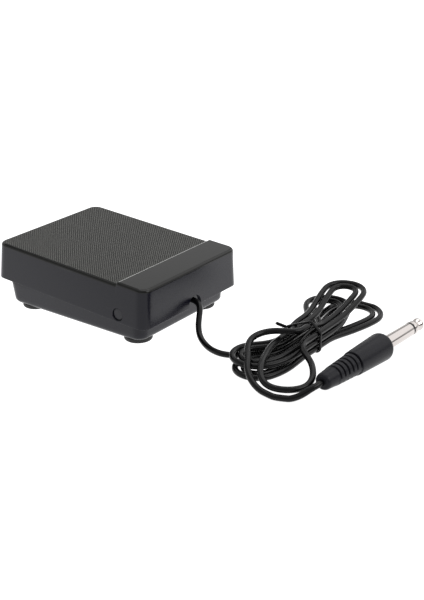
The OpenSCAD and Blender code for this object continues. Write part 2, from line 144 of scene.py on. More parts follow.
def closed(points, loop=False, caps=True):
    """Points and faces of a ringed grid, with both end rings capped unless the ends meet."""
    rows, cols = points.shape[:2]
    faces = grid(rows, cols, loop).tolist()
    if caps and not loop:
        last = (rows - 1) * cols
        faces += [list(range(cols))[::-1], list(range(last, last + cols))]
    return points.reshape(-1, 3), faces


def together(*shapes):
    """Several shapes as one list of points and one of faces."""
    points = join([p for p, _ in shapes])
    starts = np.cumsum([0] + [len(p) for p, _ in shapes[:-1]])
    faces = [[v + int(s) for v in f] for s, (_, fs) in zip(starts, shapes) for f in fs]
    return points, faces


def round_angles(count):
    """Angles spread evenly round a circle."""
    return np.linspace(0, 2 * np.pi, count, endpoint=False)


def spun(profile, sides):
    """A profile of (distance along X, radius) pairs turned about X: (x, r cos a, r sin a)."""
    x, r = np.asarray(profile, float).T[..., None]
    a = round_angles(sides)
    return np.stack([x + 0 * a, r * np.cos(a), r * np.sin(a)], -1)


def eased(profile, reach, steps=4):
    """A profile whose corners are cut by reach and replaced by a curve: the quadratic with the
    corner as its middle control point."""
    p = np.asarray(profile, float)
    c = p[1:-1]
    cut = lambda d: c + d * np.minimum(reach / np.linalg.norm(d, axis=1, keepdims=True), 0.45)
    s, e = cut(p[:-2] - c), cut(p[2:] - c)
    t = np.linspace(0, 1, steps)[None, :, None]
    mid = (1 - t) ** 2 * s[:, None] + 2 * t * (1 - t) * c[:, None] + t**2 * e[:, None]
    return join([p[:1], mid.reshape(-1, 2), p[-1:]])


def tube(path, radius, sides):
    """A circle carried along a path: each ring is square to the path, with one axis level."""
    t = np.gradient(path, axis=0)
    t /= np.linalg.norm(t, axis=1, keepdims=True)
    s = np.cross(t, [0.0, 0.0, 1.0])
    s /= np.linalg.norm(s, axis=1, keepdims=True)
    w = np.cross(s, t)
    a = round_angles(sides)[None, :, None]
    return path[:, None] + radius * (np.cos(a) * s[:, None] + np.sin(a) * w[:, None])


def smooth(t):
    """Eased step from 0 to 1: 3t^2 - 2t^3."""
    t = np.clip(t, 0, 1)
    return t * t * (3 - 2 * t)


def curve(points, step):
    """Cubic through the points, each tangent set by its neighbours, with a point every step."""
    p = np.asarray(points, float)
    d = np.linalg.norm(np.diff(p, axis=0), axis=1)
    t = join([[0], np.cumsum(d)])
    m = np.gradient(p, t, axis=0)
    q = np.linspace(0, t[-1], max(2, round(t[-1] / step)))
    i = np.clip(np.searchsorted(t, q, side="right") - 1, 0, len(d) - 1)
    h = d[i][:, None]
    u = (q - t[i])[:, None] / h
    return (
        (2 * u**3 - 3 * u**2 + 1) * p[i]
        + (u**3 - 2 * u**2 + u) * h * m[i]
        + (3 * u**2 - 2 * u**3) * p[i + 1]
        + (u**3 - u**2) * h * m[i + 1]
    )


def settle(path, reach):
    """A path whose points move to the mean of their neighbours, over and over; its ends stay."""
    p = path.copy()
    for _ in range(reach):
        p[2:-2] = (p[1:-3] + 2 * p[2:-2] + p[3:-1]) / 4
    return p


def rounded(x0, x1, half, r, side_x, end_y, arc=12):
    """Rounded rectangle run anticlockwise from the toe's near corner: four quarter circles of
    radius r, joined by straight sides that carry the given stations."""
    t = np.radians(np.linspace(0, 90, arc))
    c, s = np.cos(t) * r, np.sin(t) * r
    n, m = np.ones(len(side_x)), np.ones(len(end_y))
    x = [x0 + r - c, side_x, x1 - r + s, x1 * m, x1 - r + c, side_x[::-1], x0 + r - s, x0 * m]
    y = [
        r - half - s, -half * n, r - half - c, end_y,
        half - r + s, half * n, half - r + c, end_y[::-1],
    ]
    return np.stack([join(x), join(y)], -1)


def at_height(plan, z):
    """A flat outline raised to one height, or to a height for each of its points."""
    return np.column_stack([plan, np.zeros(len(plan)) + z])


def slab(x0, x1, y0, y1, z0, z1, r=0.3):
    """Upright block with rounded corners: one rounded rectangle carried from z0 to z1, drawn in
    by r at its top."""
    none = np.array([])
    middle, half = np.array([0, (y0 + y1) / 2]), (y1 - y0) / 2
    levels = [
        at_height(rounded(x0 + i, x1 - i, half - i, 1.05 * r, none, none, 5) + middle, z)
        for i, z in ((0, z0), (0, z1 - r), (0.3 * r, z1 - 0.3 * r), (r, z1))
    ]
    return closed(np.stack(levels))


def upright(profile, sides, at, caps=True):
    """A closed shape spun about a line along Z, with its start at the given place."""
    return closed(spun(profile, sides)[..., [1, 2, 0]] + np.asarray(at, float), caps=caps)


def crosswise(profile, sides, x, z, caps=True):
    """A closed shape spun about a line along Y."""
    return closed(spun(profile, sides)[..., [1, 0, 2]] + np.array([x, 0, z]), caps=caps)


# Making pieces

SHARP = 32.0  # an edge that turns by more degrees than this stays crisp


def sew(name, shape, finish, marks=None, angle=SHARP):
    """A closed piece from points in millimetres: doubled points are merged, faces turn outwards
    and edges sharper than the angle stay crisp. Marks are values kept on the points."""
    points, faces = shape
    mesh = bpy.data.meshes.new(name)
    mesh.from_pydata((np.asarray(points) * MM).tolist(), [], faces)
    for key, values in (marks or {}).items():
        mesh.attributes.new(key, "FLOAT", "POINT").data.foreach_set(
            "value", np.asarray(values, np.float32)
        )
    work = bmesh.new()
    work.from_mesh(mesh)
    bmesh.ops.remove_doubles(work, verts=work.verts, dist=1e-7)
    bmesh.ops.dissolve_degenerate(work, edges=work.edges, dist=1e-8)
    bmesh.ops.recalc_face_normals(work, faces=work.faces)
    work.to_mesh(mesh)
    work.free()
    mesh.materials.append(finish)
    crisp(mesh, angle)
    return show(name, mesh)


def show(name, data):
    """A new object that holds the data, linked to the scene."""
    thing = bpy.data.objects.new(name, data)
    bpy.context.scene.collection.objects.link(thing)
    return thing


def crisp(mesh, angle):
    """Smooth shading, broken at edges sharper than the angle in degrees."""
    mesh.shade_smooth()
    mesh.set_sharp_from_angle(angle=math.radians(angle))


def carve(piece, *shapes):
    """Cuts closed shapes out of a piece, one by one."""
    for shape in shapes:
        cutter = sew("cutter", shape, piece.data.materials[0])
        cut = piece.modifiers.new("cut", "BOOLEAN")
        cut.operation, cut.solver, cut.object = "DIFFERENCE", "EXACT", cutter
        bpy.context.view_layer.update()
        found = piece.evaluated_get(bpy.context.evaluated_depsgraph_get())
        piece.data = bpy.data.meshes.new_from_object(found)
        piece.modifiers.clear()
        bpy.data.objects.remove(cutter)
        if not piece.data.polygons:
            raise RuntimeError(f"nothing left of {piece.name}")
    while len(piece.data.materials) > 1:
        piece.data.materials.pop()
    crisp(piece.data, SHARP)


def fit(piece, body, slot, *nodes):
    """Puts a finished piece on its CAD body and hides the nodes it stands for; slot is not used."""
    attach(piece, body)
    if nodes:
        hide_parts(*nodes)
    return piece


def fixed(name, shape, slot, *nodes, angle=SHARP):
    """A piece of the base in its slot's finish, standing for the given nodes."""
    return fit(sew(name, shape, finishes()[slot], angle=angle), "base", slot, *nodes)


# Finishes

# Moulded finishes: roughness, grain, depth of its pits, scuffs, spread of roughness, IOR
MOULDED = {
    "base_plastic": (0.26, 0.00035, 0.000008, 0.3, 0.04, 1.36),
    "pin_plastic": (0.4, 0.0004, 0.000008, 0.3, 0.1, 1.42),
    "foot_rubber": (0.62, 0.0005, 0.00002, 0.3, 0.1, 1.42),
    "cord_jacket": (0.24, 0.0009, 0.000012, 0.15, 0.04, 1.29),
    "handle_rubber": (0.36, 0.0004, 0.000012, 0.25, 0.05, 1.24),
    "tie_plastic": (0.4, 0.0005, 0.00001, 0.1, 0.05, 1.22),
    "collar_plastic": (0.3, 0.0005, 0.000005, 0.1, 0.1, 1.42),
    "wire_red": (0.4, 0.0006, 0.00001, 0.1, 0.1, 1.42),
    "wire_white": (0.4, 0.0006, 0.00001, 0.1, 0.1, 1.42),
}
HATCH_WAYS = ((0.7193, 0.6947, 0.0), (0.7193, -0.6947, 0.0))  # square to the grooves
GROOVE_BELOW, SCUFF_ABOVE = 0.4, 0.62  # heights where a groove ends and a scuff begins
# The first colour is a painted highlight: pale grey laid on the rounding of the strip's front,
# standing in for the bright line of light that this edge catches.
PAINTED_HIGHLIGHT, SLEEK_ROUGH = (0.55, 0.55, 0.54), 0.12
COVER_PITS, RIDGES_TO_PITS = 0.000012, 30.0
LATHE_DEPTH, FIBRE_DEPTH = 0.000002, 0.00002


def put(tree, kind, inputs=None, **settings):
    """Outputs of a new shader node; an input is linked where it is given a socket."""
    n = tree.nodes.new("ShaderNode" + kind)
    for key, value in settings.items():
        setattr(n, key, value)
    for key, value in (inputs or {}).items():
        if isinstance(value, bpy.types.NodeSocket):
            tree.links.new(value, n.inputs[key])
        else:
            n.inputs[key].default_value = value
    return n.outputs


def calc(operation, *values, clamp=False):
    """Result of one sum on sockets and numbers."""
    tree = next(v for v in values if isinstance(v, bpy.types.NodeSocket)).id_data
    given = dict(enumerate(values))
    return put(tree, "Math", given, operation=operation, use_clamp=clamp)[0]


def dress(node, **sockets):
    """Links values that change over the surface to a node's sockets."""
    for key, value in sockets.items():
        node.id_data.links.new(value, node.inputs[key.replace("_", " ")])


def group(name, inputs, outputs):
    """An empty node group with its sockets: (tree, its inputs, its output node)."""
    tree = bpy.data.node_groups.new(name, "ShaderNodeTree")
    for key, value in inputs.items():
        s = tree.interface.new_socket(key, in_out="INPUT", socket_type="NodeSocketFloat")
        s.default_value = value
    for key in outputs:
        tree.interface.new_socket(key, in_out="OUTPUT", socket_type="NodeSocketFloat")
    return tree, tree.nodes.new("NodeGroupInput").outputs, tree.nodes.new("NodeGroupOutput")


def place_in(tree):
    """The shaded point's place in its object's coordinates."""
    return put(tree, "TexCoord")["Object"]


def along(place, way):
    """How far a place or direction lies along a way: their dot product."""
    given = {0: place, 1: way}
    return put(place.id_data, "VectorMath", given, operation="DOT_PRODUCT")["Value"]


def noise(place, blobs, length, detail, rough=0.5):
    """Noise with so many blobs to a length, and finer ones over them."""
    scale = calc("DIVIDE", blobs, length)
    given = {"Vector": place, "Scale": scale, "Detail": detail, "Roughness": rough}
    return put(place.id_data, "TexNoise", given)["Fac"]


def grain_group():
    """Moulded grain: fine pits for the bump and a slow cloud for tone, from two noises."""
    tree, given, out = group("Moulded Grain", {"Grain": 0.0004, "Cloud": 0.02}, ("Height", "Tone"))
    place = place_in(tree)
    fine, slow = noise(place, 1.0, given["Grain"], 2.0), noise(place, 1.0, given["Cloud"], 3.0)
    dress(out, Height=fine, Tone=slow)
    return tree


def hatch_group():
    """Tread hatch: two sets of V grooves along the tread's diagonals, each a triangle wave,
    leaving rows of small pyramids; the lower of the two waves is the height."""
    tree, given, out = group("Tread Hatch", {"Pitch": 0.0013}, ("Height", "Groove"))
    place = place_in(tree)
    half = calc("MULTIPLY", given["Pitch"], 0.5)
    waves = [calc("DIVIDE", calc("PINGPONG", along(place, w), half), half) for w in HATCH_WAYS]
    low = calc("MINIMUM", *waves)
    # The cover's colour darkens the grooves nearly to black by this mask, as painted shade.
    dress(out, Height=low, Groove=calc("LESS_THAN", low, GROOVE_BELOW))
    return tree


def scuff_group():
    """Handling marks: a noise stretched along one way, kept only where it peaks."""
    tree, given, out = group("Handling Marks", {"Length": 0.02, "Amount": 0.4}, ("Mask",))
    place = {"Vector": place_in(tree), "Rotation": (0.0, 0.0, 0.5), "Scale": (0.12, 1.0, 1.0)}
    streak = noise(put(tree, "Mapping", place)[0], 8.0, given["Length"], 4.0, 0.7)
    mask = calc("MULTIPLY", calc("SUBTRACT", streak, SCUFF_ABOVE), 8.0, clamp=True)
    dress(out, Mask=calc("MULTIPLY", mask, given["Amount"]))
    return tree


def lathe_group():
    """Turning lines: a noise that changes along one axis alone."""
    tree, given, out = group("Turning Lines", {"Angle": 0.0, "Pitch": 0.00025}, ("Height",))
    angle = put(tree, "CombineXYZ", {"Z": given["Angle"]})[0]
    place = {"Vector": place_in(tree), "Rotation": angle}
    turned = put(tree, "VectorRotate", place, rotation_type="EULER_XYZ")[0]
    x = put(tree, "SeparateXYZ", {"Vector": turned})["X"]
    lines = {"W": calc("DIVIDE", x, given["Pitch"]), "Scale": 1.0, "Detail": 2.0}
    dress(out, Height=put(tree, "TexNoise", lines, noise_dimensions="1D")["Fac"])
    return tree


GROUPS = {}
MAKERS = {"grain": grain_group, "hatch": hatch_group, "scuff": scuff_group, "lathe": lathe_group}


def shared(tree, name, **inputs):
    """A shared effect placed in a material, made the first time that it is asked for."""
    if name not in GROUPS:
        GROUPS[name] = MAKERS[name]()
    return put(tree, "Group", inputs, node_tree=GROUPS[name])


def material(name, **sockets):
    """A new material, its node tree and its shader, with plain values on the shader's sockets."""
    made = bpy.data.materials.new(name)
    made.use_nodes = True
    tree = made.node_tree
    shader = next(n for n in tree.nodes if n.type == "BSDF_PRINCIPLED")
    for key, value in sockets.items():
        shader.inputs[key.replace("_", " ")].default_value = value
    return made, tree, shader


def span(value, low, high):
    """A value from 0 to 1 spread from low to high."""
    return calc("MULTIPLY_ADD", value, high - low, low)


def shade(fac, a, b):
    """A colour mixed from a to b by fac; a and b are each three numbers or a socket."""
    ends = [v if isinstance(v, bpy.types.NodeSocket) else (*v, 1.0) for v in (a, b)]
    given = {0: fac, 6: ends[0], 7: ends[1]}
    return put(fac.id_data, "Mix", given, data_type="RGBA")[2]


def mixed(fac, a, b):
    """A value mixed from a to b by fac."""
    return put(fac.id_data, "Mix", {0: fac, 2: a, 3: b})[0]


def darker(rgb, share):
    """A colour times a share."""
    return tuple(share * c for c in rgb)


def raised(shader, height, depth):
    """A bump of that depth in metres on the shader's normal."""
    given = {"Height": height, "Distance": depth, "Strength": 1.0}
    dress(shader, Normal=put(shader.id_data, "Bump", given)[0])


def moulded(name, colour):
    """Moulded plastic or rubber: grained, a little cloudy in tone and gloss, faintly scuffed."""
    rough, grain, depth, scuffs, spread, ior = MOULDED[name]
    made, tree, shader = material(name, IOR=ior)
    g = shared(tree, "grain", Grain=grain, Cloud=0.018)
    marks = shared(tree, "scuff", Length=0.02, Amount=scuffs)["Mask"]
    base = shade(g["Tone"], darker(colour, 0.85), darker(colour, 1.15))
    gloss = span(g["Tone"], rough - spread, rough + spread)
    worn = shade(marks, base, darker(colour, 1.9))
    dress(shader, Base_Color=worn, Roughness=calc("MULTIPLY_ADD", marks, 0.12, gloss))
    raised(shader, g["Height"], depth)
    return made


def cover_finish(colours, pitch):
    """The cover's plastic: satin walls, a smooth glossier strip and rounded edges, and the
    hatched tread, whose pale grey is painted sheen and whose nearly black grooves are painted
    shade. Marks on the points say where the tread, the smooth parts and the strip's front
    edge are; a painted highlight goes on that edge."""
    made, tree, shader = material("cover_plastic", IOR=1.36)
    g = shared(tree, "grain", Grain=0.00035, Cloud=0.022)
    hatch = shared(tree, "hatch", Pitch=pitch)
    marks = shared(tree, "scuff", Length=0.03, Amount=0.25)["Mask"]
    tread, sleek, edge = (
        put(tree, "Attribute", attribute_name=name)["Fac"]
        for name in ("tread", "sleek", "edge")
    )
    wall = shade(g["Tone"], darker(colours.body, 0.9), darker(colours.body, 1.1))
    plain = shade(sleek, wall, colours.strip)
    # Painted sheen and painted shade: the hatch's ridge tips are lighter than the tread colour, and
    # its grooves are nearly black.
    top = shade(hatch["Groove"], darker(colours.tread, 1.2), darker(colours.tread, 0.02))
    # Painted highlight: the edge mark turns the rounding of the strip's front pale grey.
    base = shade(edge, shade(tread, plain, top), PAINTED_HIGHLIGHT)
    satin = span(g["Tone"], 0.20, 0.28)
    matt = span(hatch["Groove"], 0.45, 0.63)
    rough = mixed(tread, mixed(sleek, satin, SLEEK_ROUGH), matt)
    dress(shader, Base_Color=shade(marks, base, darker(colours.tread, 0.4)), Roughness=rough)
    pits = calc("MULTIPLY", g["Height"], calc("SUBTRACT", 1.0, sleek))
    ridges = calc("MULTIPLY", hatch["Height"], tread)
    raised(shader, calc("MULTIPLY_ADD", ridges, RIDGES_TO_PITS, pits), COVER_PITS)
    return made


def metal(name, colour, rough, angle=0.0, pitch=0.00025):
    """Bright metal with faint turning lines and a slow change of gloss."""
    made, tree, shader = material(name, Metallic=1.0)
    lines = shared(tree, "lathe", Angle=angle, Pitch=pitch)["Height"]
    g = shared(tree, "grain", Grain=0.0006, Cloud=0.008)
    base = shade(g["Tone"], darker(colour, 0.94), colour)
    gloss = span(lines, rough - 0.04, rough + 0.04)
    dress(shader, Base_Color=base, Roughness=calc("MULTIPLY_ADD", g["Tone"], 0.06, gloss))
    raised(shader, lines, LATHE_DEPTH)
    return made


def board_finish(colour):
    """Pressed board: brown, fibrous and dull."""
    made, tree, shader = material("pressed_board", Roughness=0.62)
    g = shared(tree, "grain", Grain=0.0009, Cloud=0.004)
    fibres = shade(g["Height"], darker(colour, 0.7), darker(colour, 1.25))
    dress(shader, Base_Color=shade(g["Tone"], fibres, colour))
    raised(shader, g["Height"], FIBRE_DEPTH)
    return made


FINISHES = {}


def finishes():
    """Every finish of the pedal by name, made once from the colour settings."""
    if not FINISHES:
        c = bpy.context.scene.pedal_colours
        dark = darker(c.cord, 0.7)
        FINISHES.update(
            cover=cover_finish(c, bpy.context.scene.pedal_sizes.hatch_pitch),
            base=moulded("base_plastic", c.body),
            pin=moulded("pin_plastic", darker(c.body, 0.9)),
            foot=moulded("foot_rubber", c.rubber),
            cord=moulded("cord_jacket", c.cord),
            handle=moulded("handle_rubber", c.handle),
            tie=moulded("tie_plastic", dark),
            insulator=moulded("collar_plastic", dark),
            wire_red=moulded("wire_red", (0.38, 0.02, 0.015)),
            wire_white=moulded("wire_white", (0.62, 0.62, 0.58)),
            plug=metal("plug_nickel", c.nickel, 0.05, angle=-math.radians(PLUG_YAW)),
            screw=metal("screw_steel", (0.55, 0.56, 0.58), 0.32),
            spring=metal("spring_steel", (0.52, 0.52, 0.53), 0.28, pitch=0.0006),
            contact=metal("contact_brass", c.brass, 0.3, pitch=0.0004),
            board=board_finish(c.board),
        )
    return FINISHES


# Cord. Places in the hank are given from its waist: u along it, v across it and a height.

WAIST, WAIST_YAW, WAIST_LIFT = (99.4, 11.8), 0.5, 0.8
RUNS, WAIST_U, FIRST_U, LAST_U = 12, 9.0, 2.0, 1.8
LANE_STEP, LAYER_STEP, FAN_LENGTH = 3.6, 3.4, 16.0
# Loops of each layer, from the floor up: fan angle, reach, half width, lift and drop
FAR_LOOPS = (1.5, 35.6, 12.6, 0, 0), (-30, 29.2, 10, 1.1, 0), (-7, 31.3, 9.4, 5.6, 0)
NEAR_LOOPS = (-23, 22.5, 9.6, 0, 0), (-37.5, 19.2, 10.7, 0, 0), (34, 30, 9.6, 0, 4)
SINK_OVER, LIFT_OVER, DROP_FROM = 18.0, 9.7, 23.0
INNER, LOOP_NEST = 4.5, 3.7  # a loop that starts with a half width under INNER is that much smaller
WIDE_LOOP, LOOP_WIDE = 9, 11.0  # the run whose loop is wider than its layer's others
PLUG_AT, PLUG_YAW = np.array([129.4, -22.6, 6.4]), 86.5
PLUG_WAY = np.array([math.cos(math.radians(PLUG_YAW)), math.sin(math.radians(PLUG_YAW)), 0.0])
PLUG_TURN = np.array([PLUG_WAY, (-PLUG_WAY[1], PLUG_WAY[0], 0.0), (0.0, 0.0, 1.0)])
# Outer strands at the waist, across and in height, that the tie goes round
TIE_STRANDS = np.array([(-8.1, 2.2), (-8.1, 7.3), (-4.5, 9), (2.7, 12.1), (6.3, 9), (6.3, 2.2)])
TIE_GAP, TIE_HALF_WIDTH, TIE_HALF_THICK = 1.83, 0.85, 0.36
TWIST_TURNS, TWIST_RADIUS = 2.5, 0.42
LEAD_ROUTE = [
    (42.2, 1.2, 13.5), (44.8, 1.2, 13.5), (47.2, 1, 13.3), (49.4, 0.1, 12.6), (51.2, -1.7, 11.3),
    (52.7, -4.2, 9.3), (54.8, -7.6, 6.6), (58.2, -11.1, 3.6), (63, -13.9, 2), (68.4, -16, 1.4),
    (74, -16.8, 1.4), (78.8, -15.2, 1.4), (81.8, -12.6, 1.4), (84.7, -9.7, 1.5), (87.3, -6.6, 1.7),
    (89.5, -3.2, 2), (90.9, 0.4, 2.2),
]
TAIL_ROUTE = [
    (101.8, 3.7, 12.5), (100.8, 1.7, 12.6), (99.1, 0.2, 12.7), (95.9, -1.5, 12.7),
    (92.5, -3.7, 12.6), (89.8, -6.4, 12.2), (88.3, -9.8, 11.8), (88.1, -13.4, 11.4),
    (89.2, -17.1, 10.9), (91.6, -21.4, 10.2), (94.9, -25.9, 9), (97.9, -30.7, 7.2),
    (102.7, -34.7, 4.5), (108.7, -36.6, 2.3), (115.2, -36.7, 1.4), (121.6, -34.2, 1.4),
    (125.5, -31.8, 3.3), (127.9, -28.7, 5.5),
]


def hank_at(u, v, z):
    """Places points given along the hank, across it and in height."""
    a = math.radians(WAIST_YAW)
    u, v, z = np.broadcast_arrays(u, v, z)
    x = WAIST[0] + v * math.cos(a) - u * math.sin(a)
    y = WAIST[1] + v * math.sin(a) + u * math.cos(a)
    return np.stack([x, y, z], -1)


def hank_route(radius):
    """Centreline of the hank: runs through the waist in lanes and layers, joined by end loops.
    A loop leaves as a pair of strands that widen by an eased step, closes in a half circle and
    comes back, along an axis that bends through the layer's fan angle and then runs straight."""
    lane = lambda h: (1 if h % 2 else -1) * LANE_STEP / 2 * (0.5 + abs(4 - h % 8))
    height = lambda n: radius + WAIST_LIFT + LAYER_STEP * n
    k = np.linspace(0, 1, 14)
    t = np.radians(np.linspace(0, 180, 19))[1:-1]
    parts = []
    for h in range(RUNS):
        side, last = (1 if h % 2 else -1), h == RUNS - 1
        n0, n1 = max(0, (h - 1) // 4), 3 if last else h // 4
        start = side * WAIST_U if h else -FIRST_U
        stop = -LAST_U if last else -side * WAIST_U
        rise = height(n0) + (height(n1) - height(n0)) * (k if last else smooth(k))
        run = hank_at(start + (stop - start) * k, lane(h), rise)
        if last:
            return join([*parts, run])
        fan, reach, wide, lift, drop = (NEAR_LOOPS if h % 2 else FAR_LOOPS)[n1]
        fan = math.radians(fan)
        w0, c = abs(lane(h) - lane(h + 1)) / 2, (lane(h) + lane(h + 1)) / 2
        r = LOOP_WIDE if h == WIDE_LOOP else wide - LOOP_NEST * (w0 < INNER)
        out = w0 + (r - w0) * smooth(k)
        s = join([reach * k, reach + r * np.sin(t), reach * k[::-1]])
        w = join([out, r * np.cos(t), -out[::-1]]) * side
        b = np.minimum(s, FAN_LENGTH) / FAN_LENGTH * fan
        rest = np.maximum(s - FAN_LENGTH, 0)
        ahead = FAN_LENGTH / fan * np.sin(b) + rest * math.cos(fan)
        aside = FAN_LENGTH / fan * (1 - np.cos(b)) + rest * math.sin(fan)
        u = WAIST_U + ahead - w * np.sin(b)
        z = height(n1) - WAIST_LIFT * smooth(s / SINK_OVER) + lift * smooth(s / (reach + LIFT_OVER))
        z -= drop * smooth((s - DROP_FROM) / (reach + LIFT_OVER - DROP_FROM))
        parts += [run[:-1], hank_at(-side * u, c + aside + w * np.cos(b), z)[:-1]]


def cord_route(radius):
    """Centreline of the whole cord: from the notch, through the hank, to the plug, kept on the
    floor and inside the frame's box."""
    hank = hank_route(radius)
    into = hank_at(1.0, 0.0, 0.0) - hank_at(0.0, 0.0, 0.0)
    lead = LEAD_ROUTE + [hank[0] - 4 * radius * into, hank[0] - 2 * radius * into]
    tail = [hank[-1] - 2 * radius * into, hank[-1] - 3 * radius * into] + TAIL_ROUTE
    tail += [PLUG_AT - 2 * radius * PLUG_WAY, PLUG_AT]
    whole = join([curve(part, 0.5) for part in (lead, hank, tail)])
    low, high = np.asarray(CAD_BOX) / MM
    return np.clip(settle(curve(whole, 0.9), 4), low + radius, high - radius)


class PEDAL_OT_cord(bpy.types.Operator):
    """Cord from the notch through its tied hank to the plug, and its twist tie"""

    bl_idname = "pedal.cord"
    bl_label = "Cord and tie"

    def execute(self, context):
        radius = context.scene.pedal_sizes.cord_diameter / MM / 2
        shape = closed(tube(cord_route(radius), radius, 18))
        fixed("cord_cable", shape, "cord", "cord_lead", "cord_hank", "cord_tail")
        fixed("tie_band", tie_shape(), "tie", "cord_tie")
        return {"FINISHED"}


def tie_shape():
    """Twist tie: a flat oval carried round the outer strands at the waist, where each direction
    is met by the strand that reaches furthest, plus a small clearance; and two strands twisted
    about each other, each a helix round a straight axis."""
    t = round_angles(360)
    way = np.stack([np.cos(t), np.sin(t)], -1)
    path = TIE_STRANDS[np.argmax(way @ TIE_STRANDS.T, axis=1)] + TIE_GAP * way
    path = join([path, path[:1]])
    run = join([[0], np.cumsum(np.linalg.norm(np.diff(path, axis=0), axis=1))])
    q = np.linspace(0, run[-1], 140, endpoint=False)
    v, z = (np.interp(q, run, c)[:, None] for c in path.T)
    dv, dz = (np.roll(c, -1, 0) - np.roll(c, 1, 0) for c in (v, z))
    n = np.hypot(dv, dz)
    a = round_angles(16)
    across = TIE_HALF_WIDTH * np.sign(np.cos(a)) * np.abs(np.cos(a)) ** 0.6
    out = TIE_HALF_THICK * np.sign(np.sin(a)) * np.abs(np.sin(a)) ** 0.8
    shapes = [closed(hank_at(across, v + dz / n * out, z - dv / n * out), loop=True)]
    k = np.linspace(0, 1, 60)
    for phase in (0.0, np.pi):
        turn = 2 * np.pi * TWIST_TURNS * k + phase
        u = -1.0 * k + TWIST_RADIUS * np.cos(turn)
        z = 8.0 + 1.0 * k + TWIST_RADIUS * np.sin(turn)
        shapes.append(closed(tube(hank_at(u, -10.2 - 4.3 * k, z), TWIST_RADIUS, 10)))
    return together(*shapes)


# Plug


def on_plug(points):
    """Shapes spun about X moved to the plug's place and direction."""
    return PLUG_AT + points @ PLUG_TURN


def handle_shape(length):
    """Handle: a spun profile of knob, relief and grip; the relief's six grooves go as deep as a
    factor that falls to nothing at two webs on its sides."""
    relief, step, deep, web, sides = 7.5, 2.8, 1.15, math.radians(13), 96
    end = relief + 5 * step
    outline = [
        (0, 0), (0, 2.9), (0.5, 3.4), (1.4, 3.75), (relief - 0.6, 4.2), (relief - 0.1, 4.35),
        (end + 0.8, 5.15), (end + 1.3, 5.5), (length - 2.2, 6.4), (length - 1.2, 6.1),
        (length - 0.4, 5.4), (length, 4.5), (length, 2.95), (length - 0.6, 2.92), (length - 0.6, 0),
    ]
    outline = eased(outline, 0.5, 6)
    x = np.linspace(relief - 0.4, end + 1.2, 150)
    outer = outline[(outline[:, 0] > 0) & (outline[:, 0] < length - 1)]
    r = np.interp(x, outer[:, 0], outer[:, 1])
    near = (x - relief) % step
    groove = deep * smooth((near - 0.02) / 0.25) * smooth((1.12 - near) / 0.25)
    groove *= (x > relief - 0.05) & (x < end + 1.15)
    a = round_angles(sides)
    slot = smooth((np.abs(np.sin(a - web)) - 0.22) / 0.14)
    grooved = np.stack([x[:, None] + 0 * a, r[:, None] - groove[:, None] * slot], -1)
    knob, grip = outline[outline[:, 0] < x[0]], outline[outline[:, 0] > x[-1]]
    plain = lambda part: np.repeat(part[:, None], sides, 1)
    x, r = np.moveaxis(join([plain(knob), grooved, plain(grip)]), -1, 0)
    return closed(on_plug(np.stack([x, r * np.cos(a), r * np.sin(a)], -1)))


class PEDAL_OT_plug(bpy.types.Operator):
    """Plug: moulded handle, plated barrel, insulating collar and plated nose"""

    bl_idname = "pedal.plug"
    bl_label = "Plug"

    def execute(self, context):
        s = context.scene.pedal_sizes
        length, r = s.handle_length / MM, s.barrel_radius / MM
        barrel = [(-11.8, 0), (-11.8, 2.88), (-0.01, 2.88), (0.05, r), (21, r)]
        barrel += [(21.2, r - 0.2), (21.2, 0)]
        collar = [(21.22, 0), (21.22, r - 0.2), (22.4, r - 0.2), (22.4, 0)]
        nose = [
            (22.45, 0), (22.45, r - 0.2), (22.65, r), (24.3, r), (25.9, 2.25), (26.5, 2.2),
            (27.2, 2.4), (28.2, 2.9), (28.8, 3), (29.4, 2.9), (30.4, 2.2), (31.4, 1.2),
            (31.75, 0.6), (31.75, 0),
        ]
        pieces = [fixed("plug_grip", handle_shape(length), "handle", "plug_handle", angle=40)]
        for name, profile, slot, node, reach in (
            ("plug_barrel", barrel, "plug", "plug_sleeve", 0.08),
            ("plug_collar", collar, "insulator", "plug_insulator", 0.06),
            ("plug_nose", nose, "plug", "plug_tip", 0.3),
        ):
            points = spun(eased(profile, reach, 6), 72) + np.array([length, 0, 0])
            pieces.append(fixed(name, closed(on_plug(points)), slot, node, angle=40))
        declare_cord(context)
        return {"FINISHED"}


def declare_cord(context):
    """Works out the cord's centreline, in metres, from its diameter; nothing is done with it."""
    diameter = context.scene.pedal_sizes.cord_diameter
    path = cord_route(diameter / MM / 2) * MM


# Cover, drawn level with its hinge axis at the origin

PIVOT, REST_TILT = (30.65, 15.2), 3.0  # x and height of its axis; turn at rest
RIM, TREAD, CEILING, REAR = -3.6, 13.8, 11.6, 15.8
TOE_DRAFT, HINGE_DRAFT, SIDE_DRAFT = 0.55, 1.2, 0.95
WALL, CORNER, TOP_CORNER = 2.0, 5.0, 4.6
RIM_ROUND, CURL = 0.12, 0.2
EXIT_Y, EXIT_Z = 1.2, 13.5  # where the cord leaves
BARBS_Y = (-16, 16)  # hold-down barbs, and the base's windows for them


